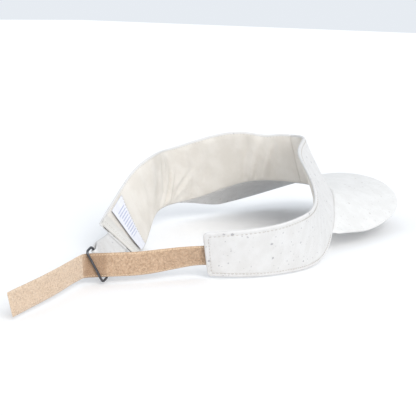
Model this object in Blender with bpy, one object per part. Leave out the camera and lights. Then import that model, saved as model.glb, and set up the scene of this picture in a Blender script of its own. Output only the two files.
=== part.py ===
"""Open-crown sun visor: cork band and arched brim, lined inside, closed behind the head by a
hook-and-loop strap that runs through a wire ring on a cork tab.

Frame: +Z up, the brim points towards -Y, the wearer's left is +X, the table is z = 0.
Lengths in this file are millimetres; meshes are made in metres. The band is described by
straight rulings: each starts on the lower edge and leans and sweeps on its way to the top.
"""
import math
import bpy
import bmesh
import numpy as np

MM = 0.001
# shift from the centre front of the crown to the middle of the whole visor, on the table
PLACE = (10.5, -43.0, -0.1)

# ---- band: stations along the lower edge, counted from the centre front ----
STATIONS = (0, 50, 100, 155, 210, 265)
RIGHT_HEADING = (0, 50, 59, 78, 109, 148)
LEFT_HEADING = (0, 36, 63, 115, 125, 120)
RIGHT_LEAN = (26, 33, 27, -4, -24, -24)
LEFT_LEAN = (26, 31, 25, 4, -26, -49)
RIGHT_SWEEP = (0, 22, 28, 28, 8, 5)
LEFT_SWEEP = (0, 23, 34, 27, 1, 4)
RIGHT_HEIGHT = (50, 58, 64, 55, 47, 37)
LEFT_HEIGHT = (50, 58, 64, 60, 48, 38)
RIGHT_LOWER_Z = (38, 36, 23, 3, 1, 2)
LEFT_LOWER_Z = (38, 36, 21, 15, 2, 1)
# the top edge sags a little to the left of the centre front
TOP_DIP, TOP_DIP_S, TOP_DIP_WIDTH = 3.6, 23, 13
CENTRE_FRONT_Y = -104
WING_END = 265
RIGHT_END = 263
SPLIT_LOWER = 126
SPLIT_UPPER = 92

# ---- sheet layers, as offsets along the outward normal ----
CORK_MID, CORK_THICK = 0.60, 0.90
CORE_MID, CORE_THICK = -0.55, 0.80
LINING_MID, LINING_THICK = -1.60, 0.70
CORE_INSET_END = 14
CORE_HEIGHTS = (0.08, 0.92)
LINING_INSET = 0.035
LINING_END_INSET = 2
LEFT_HEM = 10
SEAM_MARGIN = 4
PANEL_GAP = 0.35
COLUMN_PITCH = 6.5
ROWS = 4

# ---- topstitch ----
THREAD_R = 0.30
THREAD_OFFSET = 1.65
THREAD_INSET = 0.075
THREAD_END_INSET = 4.0
THREAD_STEP = 7.0

# ---- brim ----
BRIM_SEAM = 118
BRIM_HALF_WIDTH = 82
BRIM_FRONT_Y = -191
BRIM_FRONT_Z = 36
BRIM_SIDE_Z = 11
BRIM_POWER = 2.9
BRIM_CORNER_STEP = 5
BRIM_CORNER_DROP = 1
BRIM_CORNER_BLEND = 0.35
BRIM_CLEAR = 2.3
BRIM_LAYERS = (("brim_top_cork", 1.15, 0.8), ("brim_board", 0.0, 0.9), ("brim_under_cork", -1.15, 0.8))
BRIM_COLUMNS = 36
BRIM_ROWS = 5

# ---- strap, ring and tab ----
STRAP_WIDTH = 17
LOOP_THICK = 1.2
HOOK_THICK = 1.2
STRAP_BOTTOM = 5.0
RING_SPOT = (-11.0, 173.0)
STRAP_OVERLAP = 10
STRAP_ROOT_V = 0.42
STRAP_CLEAR = 0.45
STRAP_LEAVE = 1.0
STRAP_PIVOT_BACK = 1.5
STRAP_STRAIGHT = 26
STRAP_ROOT_STEPS = 3
STRAP_BEND_STEPS = 8
STRAP_CURL_START = 3.0
STRAP_CURL_R = 7.0
STRAP_CURL = 50.0
STRAP_CURL_STEPS = 6
TIP_TURN = 55.0
TIP_LENGTH = 96
TIP_DROP = 2.5
TIP_SHEAR = 0.40
TIP_STEPS = 9
FOLD_GAP_LOOP = 1.4
FOLD_GAP_HOOK = 0.3
JOIN_AHEAD = 3.2
JOIN_OFFSET = 0.6
JOIN_HEIGHTS = (-8, -4, 0, 4, 8)
WIRE_R = 0.9
RING_LONG = 24.5
RING_SHORT = 8.0
RING_CORNER = 2.2
RING_SKEW = 27.5
RING_TILT = 40.0
RING_NEAR_OUT = 2.7
RING_DROP = 0.7
CORNER_STEPS = 4
TAB_WIDTH = 19
TAB_THICK = 0.6
TAB_WRAP_R = 1.75
TAB_PLY = 0.5
TAB_TUCK = 8
TAB_STEPS = 8
TAB_WRAP_STEPS = 8
TAB_CLOSE = 3

# ---- label ----
LABEL_TOP_S = 216
LABEL_BOTTOM_S = 228
LABEL_WIDTH = 28
LABEL_V = (0.05, 0.93)
LABEL_THICK = 0.30
LABEL_CLEAR = 0.40
LABEL_LIFT = 2.0
LABEL_CURL = 1.6
LABEL_TOP_LIFT = 0.5
LABEL_ROWS = 4
LABEL_COLUMNS = 6
LABEL_STITCH_STEP = 1.2
LABEL_STITCH_V = (0.12, 0.88)
LABEL_STITCHES = 6

MATERIALS = {
    "cork": ((0.84, 0.82, 0.78), 0.75, 0.0),
    "interfacing": ((0.86, 0.86, 0.84), 0.90, 0.0),
    "lining": ((0.66, 0.62, 0.55), 0.90, 0.0),
    "thread": ((0.78, 0.75, 0.68), 0.80, 0.0),
    "board": ((0.88, 0.88, 0.87), 0.55, 0.0),
    "loop_tape": ((0.55, 0.40, 0.25), 0.95, 0.0),
    "hook_tape": ((0.76, 0.58, 0.40), 0.90, 0.0),
    "ring_metal": ((0.16, 0.16, 0.18), 0.35, 1.0),
    "label": ((0.86, 0.87, 0.93), 0.60, 0.0),
}


# ---------------------------------------------------------------- small tools
def unit(v):
    v = np.asarray(v, float)
    return v / np.linalg.norm(v)


def ease(t):
    t = min(max(t, 0.0), 1.0)
    return t * t * (3 - 2 * t)


def through(values, s):
    """Smooth cubic through the station values; each slope comes from the two neighbours."""
    xs = STATIONS
    s = min(max(s, xs[0]), xs[-1])
    k = 0
    while k < len(xs) - 2 and s > xs[k + 1]:
        k += 1
    slopes = []
    for i in (k, k + 1):
        lo, hi = max(i - 1, 0), min(i + 1, len(xs) - 1)
        slopes.append((values[hi] - values[lo]) / (xs[hi] - xs[lo]))
    w = xs[k + 1] - xs[k]
    t = (s - xs[k]) / w
    a = (2 * t ** 3 - 3 * t ** 2 + 1) * values[k]
    b = (t ** 3 - 2 * t ** 2 + t) * w * slopes[0]
    c = (3 * t ** 2 - 2 * t ** 3) * values[k + 1]
    d = (t ** 3 - t ** 2) * w * slopes[1]
    return a + b + c + d


def hermite(p0, d0, p1, d1, t):
    """Point at t on the cubic from p0 to p1 with end directions d0 and d1."""
    p0, d0, p1, d1 = (np.asarray(v, float) for v in (p0, d0, p1, d1))
    a = (2 * t ** 3 - 3 * t ** 2 + 1) * p0
    b = (t ** 3 - 2 * t ** 2 + t) * d0
    c = (3 * t ** 2 - 2 * t ** 3) * p1
    d = (t ** 3 - t ** 2) * d1
    return a + b + c + d


def linked(name, bm, slot, origin, smooth):
    origin = np.asarray(origin, float)
    bmesh.ops.recalc_face_normals(bm, faces=bm.faces)
    for v in bm.verts:
        v.co = [(c - o) * MM for c, o in zip(v.co, origin)]
    mesh = bpy.data.meshes.new(name)
    bm.to_mesh(mesh)
    bm.free()
    for p in mesh.polygons:
        p.use_smooth = smooth
    obj = bpy.data.objects.new(name, mesh)
    obj.location = [(c + p) * MM for c, p in zip(origin, PLACE)]
    bpy.context.scene.collection.objects.link(obj)
    if slot not in bpy.data.materials:
        color, rough, metal = MATERIALS[slot]
        mat = bpy.data.materials.new(slot)
        mat.use_nodes = True
        node = mat.node_tree.nodes["Principled BSDF"]
        node.inputs["Base Color"].default_value = (*color, 1.0)
        node.inputs["Roughness"].default_value = rough
        node.inputs["Metallic"].default_value = metal
        mat.diffuse_color = (*color, 1.0)
    mesh.materials.append(bpy.data.materials[slot])
    return obj


def sheet(name, grid, thickness, slot, origin=(0, 0, 0)):
    """A grid of points thickened evenly to both sides."""
    bm = bmesh.new()
    rows = [[bm.verts.new(p) for p in line] for line in grid]
    for a, b in zip(rows, rows[1:]):
        for i in range(len(a) - 1):
            bm.faces.new((a[i], a[i + 1], b[i + 1], b[i]))
    obj = linked(name, bm, slot, origin, True)
    solid = obj.modifiers.new("thickness", "SOLIDIFY")
    solid.thickness = thickness * MM
    solid.offset = 0.0
    solid.use_even_offset = True
    return obj


def slab(name, inner, outer, slot, origin=(0, 0, 0)):
    """A closed layer between two matching grids of points."""
    bm = bmesh.new()
    skins = [[[bm.verts.new(p) for p in line] for line in grid] for grid in (inner, outer)]
    for skin in skins:
        for a, b in zip(skin, skin[1:]):
            for i in range(len(a) - 1):
                bm.faces.new((a[i], a[i + 1], b[i + 1], b[i]))
    rims = []
    for skin in skins:
        rims.append(skin[0] + [line[-1] for line in skin[1:]] + skin[-1][-2::-1]
                    + [line[0] for line in skin[-2:0:-1]])
    count = len(rims[0])
    for i in range(count):
        k = (i + 1) % count
        bm.faces.new((rims[0][i], rims[0][k], rims[1][k], rims[1][i]))
    return linked(name, bm, slot, origin, True)


def tube(name, path, radius, sides, slot, closed=False, origin=(0, 0, 0), up=(0, 0, 1)):
    """A round section swept along a path."""
    pts = [np.asarray(p, float) for p in path]
    n = len(pts)
    bm = bmesh.new()
    rings = []
    side = None
    for i, p in enumerate(pts):
        if closed:
            d = unit(pts[(i + 1) % n] - pts[i - 1])
        else:
            d = unit(pts[min(i + 1, n - 1)] - pts[max(i - 1, 0)])
        if side is None:
            side = np.cross(d, up)
        side = unit(side - d * np.dot(side, d))
        other = np.cross(d, side)
        ring = []
        for k in range(sides):
            a = 2 * math.pi * (k + 0.5) / sides
            ring.append(bm.verts.new(p + radius * (math.cos(a) * side + math.sin(a) * other)))
        rings.append(ring)
    pairs = list(zip(rings, rings[1:]))
    if closed:
        pairs.append((rings[-1], rings[0]))
    for a, b in pairs:
        for k in range(sides):
            m = (k + 1) % sides
            bm.faces.new((a[k], a[m], b[m], b[k]))
    if not closed:
        bm.faces.new(rings[0])
        bm.faces.new(rings[-1])
    return linked(name, bm, slot, origin, True)


# ---------------------------------------------------------------- band surface
def plan_walk(headings):
    """x, y of the lower edge every millimetre from the centre front."""
    xs, ys = [0.0], [0.0]
    for k in range(WING_END + 6):
        h = math.radians(through(headings, k + 0.5))
        xs.append(xs[-1] + math.cos(h))
        ys.append(ys[-1] + math.sin(h))
    return xs, ys


WALKS = {1: plan_walk(LEFT_HEADING), -1: plan_walk(RIGHT_HEADING)}


def ruling(s):
    """Lower-edge point, unit direction of the straight line up the band, and its length."""
    side = 1 if s >= 0 else -1
    a = abs(s)
    xs, ys = WALKS[side]
    k = min(int(a), len(xs) - 2)
    f = a - k
    x = xs[k] + f * (xs[k + 1] - xs[k])
    y = ys[k] + f * (ys[k + 1] - ys[k])
    heading = math.radians(through(LEFT_HEADING if side > 0 else RIGHT_HEADING, a))
    lean = math.radians(through(LEFT_LEAN if side > 0 else RIGHT_LEAN, a))
    sweep = math.tan(math.radians(through(LEFT_SWEEP if side > 0 else RIGHT_SWEEP, a)))
    along = np.array([math.cos(heading), math.sin(heading), 0.0])
    inward = np.array([-math.sin(heading), math.cos(heading), 0.0])
    up = inward * math.sin(lean) + along * sweep * math.cos(lean) + np.array([0, 0, math.cos(lean)])
    base = np.array([x, y + CENTRE_FRONT_Y, through(LEFT_LOWER_Z if side > 0 else RIGHT_LOWER_Z, a)])
    flip = np.array([side, 1, 1])
    height = through(LEFT_HEIGHT if side > 0 else RIGHT_HEIGHT, a)
    height -= TOP_DIP * math.exp(-((s - TOP_DIP_S) / TOP_DIP_WIDTH) ** 2)
    return base * flip, unit(up) * flip, height


def band_point(s, v, w):
    """Point at arc position s, height fraction v, offset w outwards from the band's middle."""
    base, up, height = ruling(s)
    back, up_back, h_back = ruling(s - 1.0)
    front, up_front, h_front = ruling(s + 1.0)
    along = (front + v * h_front * up_front) - (back + v * h_back * up_back)
    outward = unit(np.cross(along, up))
    return base + v * height * up + w * outward


def wing_frame(s, v, w):
    """Point, unit direction along the band towards +s, and unit direction up the ruling."""
    p = band_point(s, v, w)
    return p, unit(band_point(s + 1, v, w) - band_point(s - 1, v, w)), ruling(s)[1]


def panel_grid(s_low, s_high, v_low, v_high, w):
    """Grid between two slanted ends; each end is given at the lower and the upper edge."""
    length = max(abs(s_high[0] - s_low[0]), abs(s_high[1] - s_low[1]))
    columns = max(int(round(length / COLUMN_PITCH)), 4)
    grid = []
    for j in range(ROWS + 1):
        v = v_low + (v_high - v_low) * j / ROWS
        a = s_low[0] + (s_low[1] - s_low[0]) * v
        b = s_high[0] + (s_high[1] - s_high[0]) * v
        grid.append([band_point(a + (b - a) * i / columns, v, w) for i in range(columns + 1)])
    return grid


def panel(name, ends, heights, middle, thickness, slot, origin=(0, 0, 0)):
    """One layer of the band: its ends, its height fractions and its place in the thickness."""
    skins = [panel_grid(*ends, *heights, middle + f * thickness / 2) for f in (-1, 1)]
    slab(name, *skins, slot, origin)


def split_at(v):
    return SPLIT_LOWER + (SPLIT_UPPER - SPLIT_LOWER) * v


def hinge_spot():
    """Vertical line through the innermost point of the seam between band and left wing."""
    points = [band_point(split_at(v / 10), v / 10, LINING_MID - LINING_THICK) for v in range(11)]
    return min(points, key=lambda p: p[0])


def run(s0, v0, s1, v1, w):
    """Evenly spaced points on the band between two corners of a stitch row."""
    length = max(abs(s1 - s0), abs(v1 - v0) * ruling(s0)[2])
    steps = max(int(round(length / THREAD_STEP)), 1)
    return [band_point(s0 + (s1 - s0) * i / steps, v0 + (v1 - v0) * i / steps, w) for i in range(steps)]


# ---------------------------------------------------------------- the pieces
def make_band():
    low, high = (-RIGHT_END, -RIGHT_END), (SPLIT_LOWER, SPLIT_UPPER)
    core_low = (-RIGHT_END + CORE_INSET_END, -RIGHT_END + CORE_INSET_END)
    core_high = (SPLIT_LOWER - SEAM_MARGIN, SPLIT_UPPER - SEAM_MARGIN)
    lining_low = (-RIGHT_END + LINING_END_INSET, -RIGHT_END + LINING_END_INSET)
    top = 1 - LINING_INSET
    panel("band_cork", (low, high), (0, 1), CORK_MID, CORK_THICK, "cork")
    panel("band_interfacing", (core_low, core_high), CORE_HEIGHTS, CORE_MID, CORE_THICK, "interfacing")
    panel("band_lining", (lining_low, high), (LINING_INSET, top), LINING_MID, LINING_THICK, "lining")
    inset = THREAD_INSET
    end = -(RIGHT_END - THREAD_END_INSET)
    path = run(SPLIT_UPPER - SEAM_MARGIN, 1 - inset, end, 1 - inset, THREAD_OFFSET)
    path += run(end, 1 - inset, end, inset, THREAD_OFFSET)
    path += run(end, inset, -(BRIM_SEAM + SEAM_MARGIN), inset, THREAD_OFFSET)
    tube("band_topstitch", path, THREAD_R, 4, "thread")


def make_left_wing(origin):
    low = (SPLIT_LOWER + PANEL_GAP, SPLIT_UPPER + PANEL_GAP)
    high = (WING_END, WING_END)
    core_low = (low[0] + SEAM_MARGIN, low[1] + SEAM_MARGIN)
    core_high = (WING_END - CORE_INSET_END, WING_END - CORE_INSET_END)
    lining_high = (WING_END - LEFT_HEM, WING_END - LEFT_HEM)
    top = 1 - LINING_INSET
    panel("left_wing_cork", (low, high), (0, 1), CORK_MID, CORK_THICK, "cork", origin)
    panel("left_wing_interfacing", (core_low, core_high), CORE_HEIGHTS, CORE_MID, CORE_THICK,
          "interfacing", origin)
    panel("left_wing_lining", (low, lining_high), (LINING_INSET, top), LINING_MID, LINING_THICK,
          "lining", origin)
    inset = THREAD_INSET
    end = WING_END - THREAD_END_INSET
    path = run(low[1] + SEAM_MARGIN, 1 - inset, end, 1 - inset, THREAD_OFFSET)
    path += run(end, 1 - inset, end, inset, THREAD_OFFSET)
    path += run(end, inset, low[0] + SEAM_MARGIN, inset, THREAD_OFFSET)
    tube("left_wing_topstitch", path, THREAD_R, 4, "thread", origin=origin)


def brim_grid(offset):
    """Grid from the band's lower edge to the brim's rim, lifted by offset off the middle ply."""
    inner, outer = [], []
    for i in range(BRIM_COLUMNS + 1):
        u = 2 * i / BRIM_COLUMNS - 1
        corner = band_point(math.copysign(BRIM_SEAM, u), 0, BRIM_CLEAR)
        depth = corner[1] - BRIM_CORNER_STEP - BRIM_FRONT_Y
        inner.append(band_point(u * BRIM_SEAM, 0, BRIM_CLEAR))
        a = u * math.pi / 2
        x = math.copysign(BRIM_HALF_WIDTH * abs(math.sin(a)) ** (2 / BRIM_POWER), u)
        ahead = math.cos(a) ** (2 / BRIM_POWER)
        y = corner[1] - BRIM_CORNER_STEP - depth * ahead
        z = BRIM_FRONT_Z + (BRIM_SIDE_Z - BRIM_FRONT_Z) * (x / BRIM_HALF_WIDTH) ** 2
        near = ease(1 - ahead / BRIM_CORNER_BLEND)
        x += math.copysign(near * (abs(corner[0]) - BRIM_HALF_WIDTH) * abs(u), u)
        z += near * (corner[2] - BRIM_SIDE_Z - BRIM_CORNER_DROP)
        outer.append(np.array([x, y, z]))
    grid = []
    for j in range(BRIM_ROWS + 1):
        t = j / BRIM_ROWS
        grid.append([a + (b - a) * t for a, b in zip(inner, outer)])
    lifted = []
    for line in grid:
        row = []
        for p in line:
            slope = 2 * (BRIM_SIDE_Z - BRIM_FRONT_Z) * p[0] / BRIM_HALF_WIDTH ** 2
            row.append(p + offset * unit([-slope, 0, 1]))
        lifted.append(row)
    return lifted


def make_brim():
    for name, offset, thick in BRIM_LAYERS:
        slot = "board" if name == "brim_board" else "cork"
        slab(name, brim_grid(offset - thick / 2), brim_grid(offset + thick / 2), slot)


def strip(path, ups, width, rows=2):
    """Grid of points as wide as the tape, square to its path."""
    grid = []
    for j in range(rows + 1):
        f = (j / rows - 0.5) * width
        grid.append([p + f * u for p, u in zip(path, ups)])
    return grid


def strap_axes():
    """Strap root frame, direction of the straight part, its outward side, and the ring spot."""
    root, towards, up = wing_frame(-RIGHT_END + STRAP_OVERLAP, STRAP_ROOT_V, strap_root_offset())
    ring = np.array([RING_SPOT[0], RING_SPOT[1], STRAP_BOTTOM + STRAP_WIDTH / 2])
    end, _, _ = wing_frame(-RIGHT_END, STRAP_ROOT_V, strap_root_offset())
    d = ring - end
    d[2] = 0
    d = unit(d)
    return root, -towards, up, d, np.array([-d[1], d[0], 0.0]), ring, end


def strap_root_offset():
    return LINING_MID - LINING_THICK / 2 - STRAP_CLEAR - LOOP_THICK / 2


def make_strap():
    """Loop tape from the right wing through the ring, then hook tape behind the fold."""
    root, back, up, d, out, ring, end = strap_axes()
    z = np.array([0, 0, 1.0])
    path, ups = [], []
    for i in range(STRAP_ROOT_STEPS):
        s = -RIGHT_END + STRAP_OVERLAP * (1 - i / STRAP_ROOT_STEPS)
        p, _, u = wing_frame(s, STRAP_ROOT_V, strap_root_offset())
        path.append(p)
        ups.append(u)
    leave = end + back * STRAP_LEAVE
    meet = ring - d * STRAP_STRAIGHT
    reach = np.linalg.norm(meet - leave)
    for i in range(STRAP_BEND_STEPS + 1):
        t = i / STRAP_BEND_STEPS
        path.append(hermite(leave, back * reach, meet, d * reach, t))
        ups.append(unit(up * (1 - ease(t)) + z * ease(t)))
    for step in (STRAP_STRAIGHT / 2, 0):
        path.append(ring - d * step)
        ups.append(z)
    turn_from = ring + d * STRAP_CURL_START
    for i in range(STRAP_CURL_STEPS + 1):
        a = math.radians(STRAP_CURL) * i / STRAP_CURL_STEPS
        path.append(turn_from + STRAP_CURL_R * (math.sin(a) * d + (1 - math.cos(a)) * out))
        ups.append(z)
    a = math.radians(STRAP_CURL)
    leaving = math.cos(a) * d + math.sin(a) * out
    fold = path[-1] + leaving * FOLD_GAP_LOOP
    pivot = end + back * STRAP_PIVOT_BACK
    sheet("strap_loop_tape", strip(path, ups, STRAP_WIDTH), LOOP_THICK, "loop_tape", pivot)
    a = math.radians(TIP_TURN)
    ahead = math.cos(a) * d + math.sin(a) * out
    path, ups = [], []
    for i in range(TIP_STEPS + 1):
        t = i / TIP_STEPS
        run_out = FOLD_GAP_HOOK + t * (TIP_LENGTH - FOLD_GAP_HOOK)
        path.append(fold + ahead * run_out - z * TIP_DROP * t)
        ups.append(z + TIP_SHEAR * ease(t) * ahead)
    sheet("strap_hook_tape", strip(path, ups, STRAP_WIDTH), HOOK_THICK, "hook_tape", fold)
    face = np.cross(ahead, z)
    foot = fold + ahead * JOIN_AHEAD + face * (HOOK_THICK / 2 + JOIN_OFFSET)
    stitch = [foot + z * k for k in JOIN_HEIGHTS]
    tube("strap_join_stitch", stitch, THREAD_R, 4, "thread", origin=fold, up=ahead)


def ring_axes():
    """Middles of the ring's near and far bars, the bars' direction, and far-to-near direction."""
    _, _, _, d, out, ring, _ = strap_axes()
    z = np.array([0, 0, 1.0])
    skew, tilt = math.radians(RING_SKEW), math.radians(RING_TILT)
    bar = math.sin(skew) * d + math.cos(skew) * z
    square = math.cos(skew) * d - math.sin(skew) * z
    reach = math.sin(tilt) * square + math.cos(tilt) * out
    near = ring + out * RING_NEAR_OUT - bar * RING_DROP
    return near, near - reach * RING_SHORT, bar, reach


def make_ring():
    """A rounded rectangle of wire; its far bar is the pivot in the tab."""
    near, far, bar, reach = ring_axes()
    middle = (near + far) / 2
    path = []
    for k, (on_bar, on_reach) in enumerate(((1, 1), (1, -1), (-1, -1), (-1, 1))):
        corner = middle + on_bar * (RING_LONG / 2 - RING_CORNER) * bar
        corner = corner + on_reach * (RING_SHORT / 2 - RING_CORNER) * reach
        for i in range(CORNER_STEPS + 1):
            a = math.radians(90 * (k + i / CORNER_STEPS))
            path.append(corner + RING_CORNER * (math.cos(a) * reach + math.sin(a) * bar))
    tube("wire_ring", path, WIRE_R, 10, "ring_metal", closed=True, origin=far, up=np.cross(bar, reach))


def make_tab(origin):
    """A cork strip folded round the ring's far bar; one ply runs into the wing's end."""
    _, far, bar, _ = ring_axes()
    inside, _, inside_up = wing_frame(WING_END - TAB_TUCK, 0.5, CORE_MID)
    edge, along, up = wing_frame(WING_END, 0.5, CORE_MID)
    ahead = far - edge
    ahead = unit(ahead - bar * np.dot(ahead, bar))
    face = unit(np.cross(ahead, bar))
    path, ups = [inside, edge], [inside_up, up]
    arrive = far + face * TAB_WRAP_R
    reach_len = np.linalg.norm(arrive - edge)
    plies = []
    for i in range(1, TAB_STEPS):
        t = i / TAB_STEPS
        plies.append((hermite(edge, along * reach_len, arrive, ahead * reach_len, t),
                      unit(up * (1 - ease(t)) + bar * ease(t))))
    for p, u in plies:
        path.append(p)
        ups.append(u)
    for i in range(TAB_WRAP_STEPS + 1):
        a = math.pi * i / TAB_WRAP_STEPS
        path.append(far + TAB_WRAP_R * (math.cos(a) * face + math.sin(a) * ahead))
        ups.append(bar)
    for k, (p, u) in enumerate(reversed(plies)):
        t = k / (len(plies) - 1)
        closed = ease(TAB_CLOSE * t)
        gap = 2 * TAB_WRAP_R * (1 - closed) + (TAB_THICK + TAB_PLY) * closed
        path.append(p - face * gap)
        ups.append(u)
    sheet("ring_tab", strip(path, ups, TAB_WIDTH), TAB_THICK, "cork", origin)


def label_place(t, v):
    """Arc position on the label: t runs from its sewn edge to its free edge."""
    return LABEL_BOTTOM_S + (LABEL_TOP_S - LABEL_BOTTOM_S) * v + t * LABEL_WIDTH


def make_label(origin):
    base = LINING_MID - LINING_THICK / 2 - LABEL_CLEAR - LABEL_THICK / 2
    grid = []
    for j in range(LABEL_ROWS + 1):
        v = LABEL_V[0] + (LABEL_V[1] - LABEL_V[0]) * j / LABEL_ROWS
        line = []
        for i in range(LABEL_COLUMNS + 1):
            t = i / LABEL_COLUMNS
            lift = LABEL_LIFT * t ** LABEL_CURL * (1 - LABEL_TOP_LIFT * j / LABEL_ROWS)
            line.append(band_point(label_place(t, v), v, base - lift))
        grid.append(line)
    foot = band_point(label_place(0, LABEL_V[0]), LABEL_V[0], base)
    head = band_point(label_place(0, LABEL_V[1]), LABEL_V[1], base)
    middle = (foot + head) / 2
    sheet("care_label", grid, LABEL_THICK, "label", middle)
    stitch = []
    for k in range(LABEL_STITCHES + 1):
        v = LABEL_STITCH_V[0] + (LABEL_STITCH_V[1] - LABEL_STITCH_V[0]) * k / LABEL_STITCHES
        s = label_place(0, v) - LABEL_STITCH_STEP
        stitch.append(band_point(s, v, LINING_MID - LINING_THICK / 2 - 2 * THREAD_R))
    tube("label_stitch", stitch, THREAD_R, 4, "thread", origin=origin, up=(1, 0, 0))


for old in list(bpy.data.objects):
    bpy.data.objects.remove(old)
TEMPLE = hinge_spot()
make_band()
make_brim()
make_left_wing(TEMPLE)
make_strap()
make_ring()
make_tab(TEMPLE)
make_label(TEMPLE)
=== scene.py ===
"""Looks for the cork sun visor: cork shells with turned edges, wrinkled lining, stitching, a curved
brim, fuzzy hook-and-loop strap, wire ring on a cork tab and a curling care label.

Lengths are millimetres until a mesh is made; then they are shifted by PLACE and turned into metres.
"""
import functools
import math
import bmesh
import bpy
import numpy as np
from mathutils import Matrix, Vector


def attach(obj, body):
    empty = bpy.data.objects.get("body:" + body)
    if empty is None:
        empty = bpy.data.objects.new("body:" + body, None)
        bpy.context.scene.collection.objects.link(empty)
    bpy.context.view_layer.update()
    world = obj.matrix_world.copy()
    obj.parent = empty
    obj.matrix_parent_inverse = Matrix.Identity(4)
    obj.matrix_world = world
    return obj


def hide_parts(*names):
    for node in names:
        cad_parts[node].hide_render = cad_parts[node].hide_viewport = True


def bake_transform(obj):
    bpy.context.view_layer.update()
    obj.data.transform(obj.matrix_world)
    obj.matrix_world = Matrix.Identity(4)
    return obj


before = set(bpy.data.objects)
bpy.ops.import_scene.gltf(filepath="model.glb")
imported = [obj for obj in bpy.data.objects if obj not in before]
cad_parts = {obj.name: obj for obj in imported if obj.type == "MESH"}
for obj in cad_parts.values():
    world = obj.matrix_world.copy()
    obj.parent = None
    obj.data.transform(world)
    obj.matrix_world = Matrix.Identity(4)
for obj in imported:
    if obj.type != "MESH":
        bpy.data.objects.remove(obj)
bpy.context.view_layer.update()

MM = 0.001
PLACE = np.array([10.5, -43.0, -0.1])
UP = np.array([0, 0, 1.0])

# ---- the band: stations along the lower edge, counted from the centre front ----
# the same rows as part.py holds: fitted to outlines seen in the photograph, then rounded
STATIONS = (0, 50, 100, 155, 210, 265)
RIGHT_HEADING = (0, 50, 59, 78, 109, 148)
LEFT_HEADING = (0, 36, 63, 115, 125, 120)
RIGHT_LEAN = (26, 33, 27, -4, -24, -24)
LEFT_LEAN = (26, 31, 25, 4, -26, -49)
RIGHT_SWEEP = (0, 22, 28, 28, 8, 5)
LEFT_SWEEP = (0, 23, 34, 27, 1, 4)
RIGHT_HEIGHT = (50, 58, 64, 55, 47, 37)
LEFT_HEIGHT = (50, 58, 64, 60, 48, 38)
RIGHT_LOWER_Z = (38, 36, 23, 3, 1, 2)
LEFT_LOWER_Z = (38, 36, 21, 15, 2, 1)
BAND_ROWS = {
    1: (LEFT_HEADING, LEFT_LEAN, LEFT_SWEEP, LEFT_HEIGHT, LEFT_LOWER_Z),
    -1: (RIGHT_HEADING, RIGHT_LEAN, RIGHT_SWEEP, RIGHT_HEIGHT, RIGHT_LOWER_Z),
}
# the top edge sags a little to the left of the centre front
TOP_DIP, TOP_DIP_S, TOP_DIP_WIDTH = 3.6, 23, 13
CENTRE_FRONT_Y = -104
WING_END = 265
RIGHT_END = 263

# ---- layers as offsets from the band's middle, outwards ----
OUT = 1.0
IN = -1.25
ROLL = (OUT - IN) / 2
ROLL_MID = (OUT + IN) / 2
ROLL_STEPS = 8
HEM = 2.2
HEM_STEP = 1.2
LEFT_CORNER_R = 1.6
RIGHT_CORNER_R = 3.5
LINING_EDGE = 1.3
LINING_THICK = 0.45
LINING_GAP = 0.12
LINING_STEP = 1.3
LINING_ROWS = 34
LINING_RIGHT_INSET = 2.0
LINING_LEFT_INSET = 11
SWELL_END = 205
HEM_STRIP = 13.0
HEM_STITCH_INSET = 4.2
CORK_STEP = 2.0
STITCH_INSET = 3.3
STITCH_START = 0.6
STITCH_PAST_SEAM = 5
INNER_STITCH_INSET = 1.75
STITCH_PITCH = 2.6
STITCH_LENGTH = 1.5
STITCH_R = 0.24
SHORT_STITCH = 1.4

# ---- brim ----
BRIM_SEAM = 118
BRIM_HALF_WIDTH = 82
BRIM_FRONT_Y = -191
BRIM_FRONT_Z = 36
BRIM_SIDE_Z = 11
BRIM_POWER = 2.9
BRIM_CORNER_STEP = 5
BRIM_CORNER_DROP = 1
BRIM_CORNER_BLEND = 0.35
BRIM_CLEAR = 2.3
BRIM_HALF_THICK = 1.35
BRIM_MIDDLE = 0.985
BRIM_ROUNDED = 0.0115
BRIM_UNDER_INSET = 2.2

# ---- strap, ring, tab ----
STRAP_WIDTH = 17
STRAP_BOTTOM = 5.0
RING_SPOT = (-11.0, 173.0)
STRAP_OVERLAP = 10
STRAP_ROOT_V = 0.42
STRAP_ROOT_W = -3.0
STRAP_CURL_START = 3.0
STRAP_CURL_R = 7.0
STRAP_CURL = 50.0
STRAP_LEAVE = 1.0
STRAP_STRAIGHT = 26
TAPE_COLUMNS = 15
TIP_TURN = 55.0
TIP_LENGTH = 96
TIP_DROP = 2.5
TIP_SHEAR = 0.40
TIP_BOW = 1.2
TIP_OVERLAP = 3.2
TIP_RUN_OUT = 0.6
TIP_STEPS = 60
FOLD_GAP = 1.4
BEND_REACH = 3.0
PILE_LOOPS, PILE_HEIGHT, PILE_SEED = 2600, 0.45, 7
HOOKS_ACROSS, HOOK_HEIGHT, HOOK_SEED = 12, 0.75, 3
WIRE_R = 0.85
RING_LONG = 24.5
RING_SHORT = 8.0
RING_CORNER = 2.2
RING_SKEW = 27.5
RING_TILT = 40.0
RING_NEAR_OUT = 2.7
RING_DROP = 0.7
TAB_WIDTH = 19
TAB_WRAP_R = 1.7
TAB_TUCK = 8
TAB_PLY_GAP = 1.0

# ---- label ----
LABEL_TOP_S = 216
LABEL_BOTTOM_S = 228
LABEL_WIDTH = 28
LABEL_V = (0.03, 0.94)
LABEL_LIFT = 1.7
LABEL_OFFSET = -2.5
LABEL_HEIGHT = 38
LABEL_STITCHES = 18
BAR_PITCH, BAR_SHARE = 2.25, 0.42
BAR_START, BAR_SHORTEST, BAR_UNEVEN = 3.5, 19.0, 5.0
BARS_BOTTOM, BARS_TOP = 11.5, 33.5

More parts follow.
